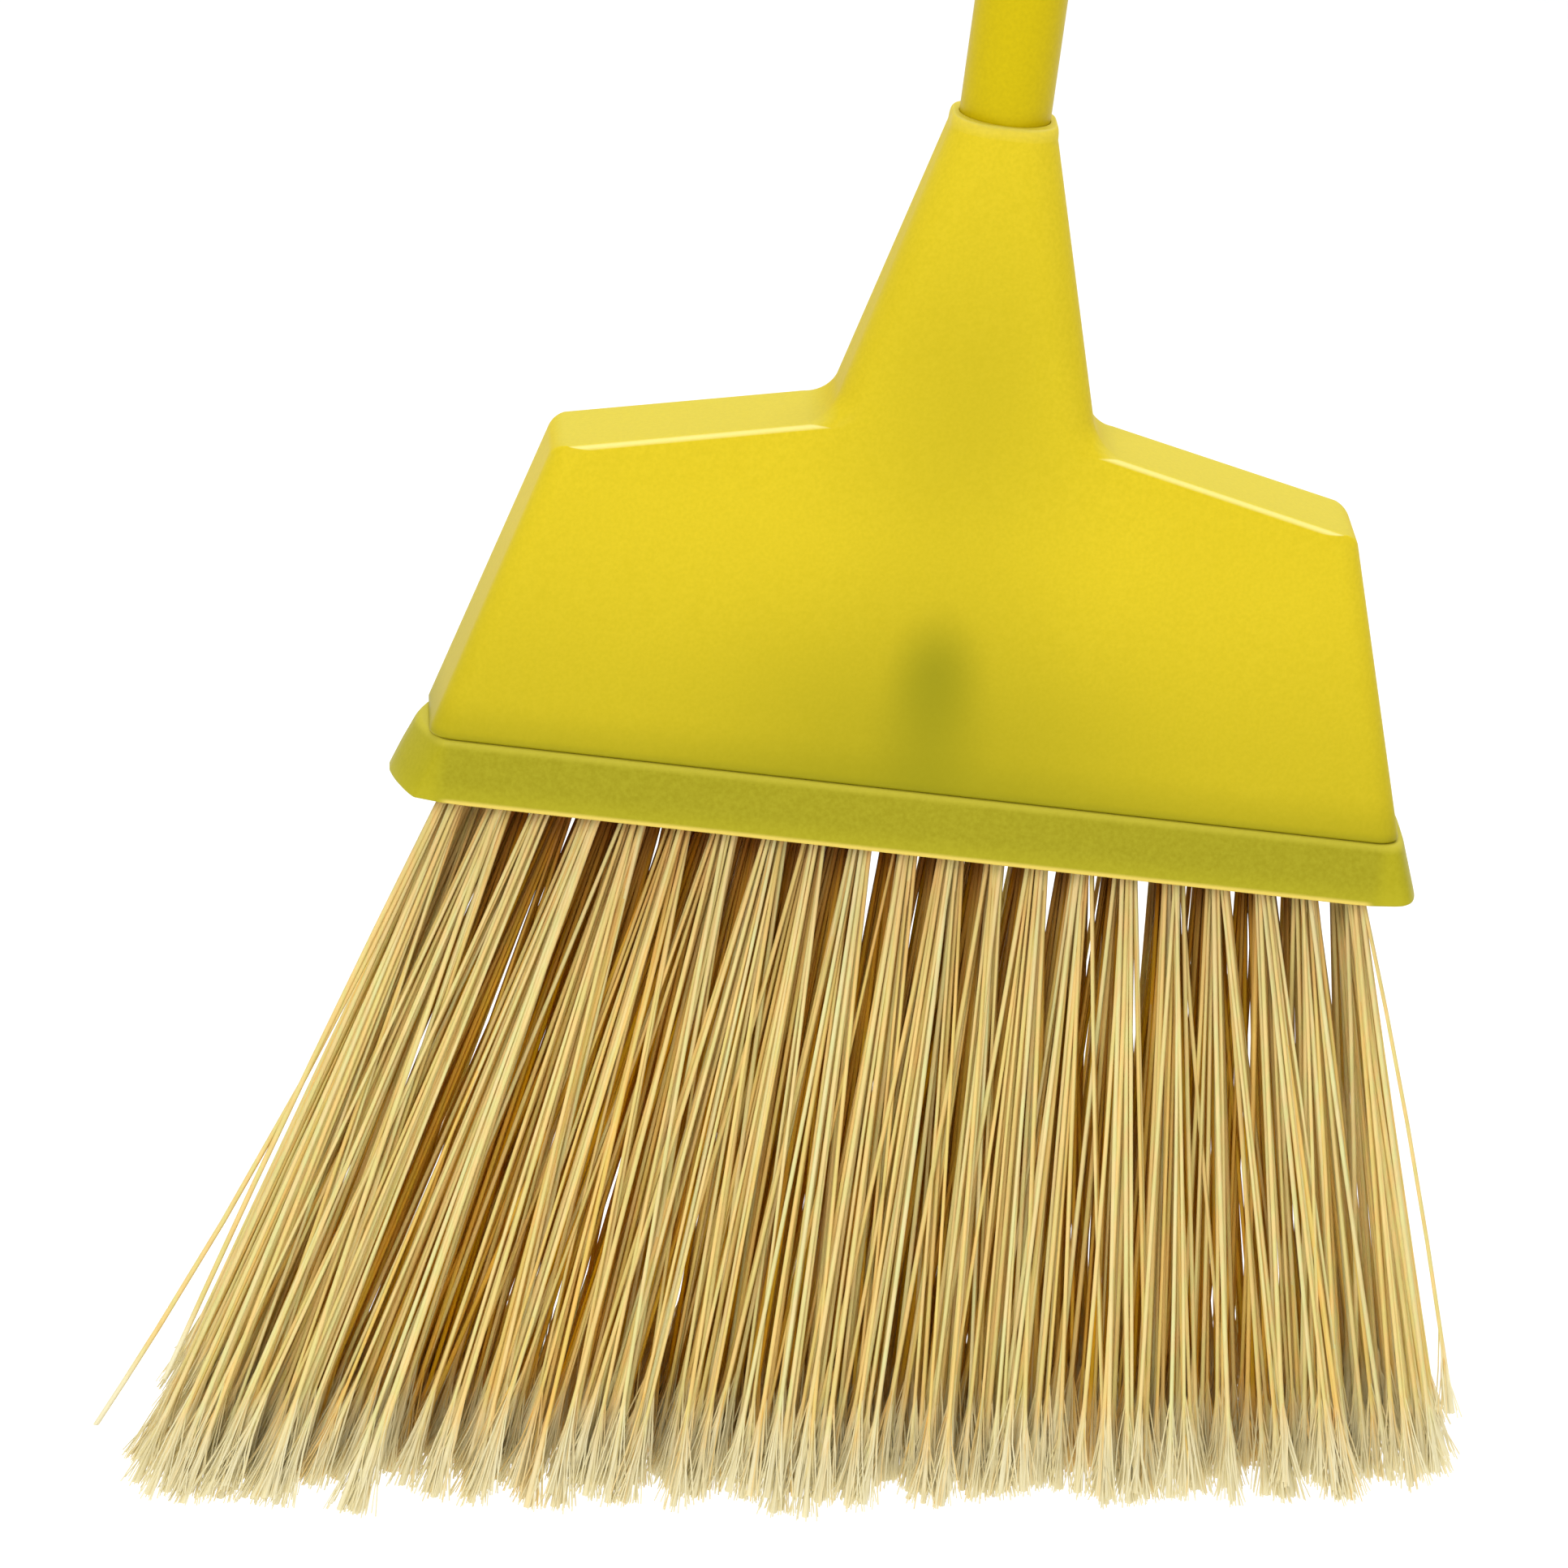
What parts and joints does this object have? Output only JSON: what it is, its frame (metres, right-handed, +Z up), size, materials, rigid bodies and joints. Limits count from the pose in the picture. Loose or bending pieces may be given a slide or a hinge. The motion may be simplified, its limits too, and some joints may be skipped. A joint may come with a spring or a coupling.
{
  "type": "angle broom",
  "caption": "Angle broom with a hollow moulded head, a fan of straight bristles trimmed on a slant, and a sleeved tube handle that screws in and hangs by a hole in its top.",
  "frame": {"origin": "centre of the hang hole in the handle's top, on the handle axis", "axes": "+Z up the handle, +X to the end of the head with the shorter bristles, -Y to the front of the head, and the hang hole runs along Y"},
  "size_m": [0.3256, 0.0795, 1.4309],
  "materials": {
    "cap_plastic": "translucent yellow polypropylene with a fine moulded grain",
    "block_plastic": "satin olive yellow polypropylene",
    "bristle_fibre": "satin straw-coloured fibres with flagged tips",
    "tip_plastic": "dark moulded plastic",
    "tube_steel": "thin welded steel tube",
    "sleeve_vinyl": "smooth satin yellow vinyl",
    "hanger_plastic": "satin yellow polypropylene"
  },
  "bodies": {
    "handle": {"handle_sleeve": "sleeve_vinyl", "threaded_tip": "tip_plastic", "hanger_cap": "hanger_plastic"},
    "handle_core": {"handle_tube": "tube_steel"},
    "head": {"head_cap": "cap_plastic", "bristle_block": "block_plastic", "bristle_row_front": "bristle_fibre", "bristle_row_mid_front": "bristle_fibre", "bristle_row_mid_back": "bristle_fibre", "bristle_row_back": "bristle_fibre"}
  },
  "joints": [
    {"name": "head_turn", "type": "hinge", "parent": "handle", "child": "handle_core", "pos_m": [0, 0, -1.178], "axis": [0, 0, -1], "range_deg": [0, 1800]},
    {"name": "head_drop", "type": "slide", "parent": "handle_core", "child": "head", "axis": [0, 0, -1], "range_m": [0, 0.0254]}
  ],
  "couplings": [
    {"joint": "head_drop", "follows": "head_turn", "m_per_rad": 0.0008085}
  ]
}
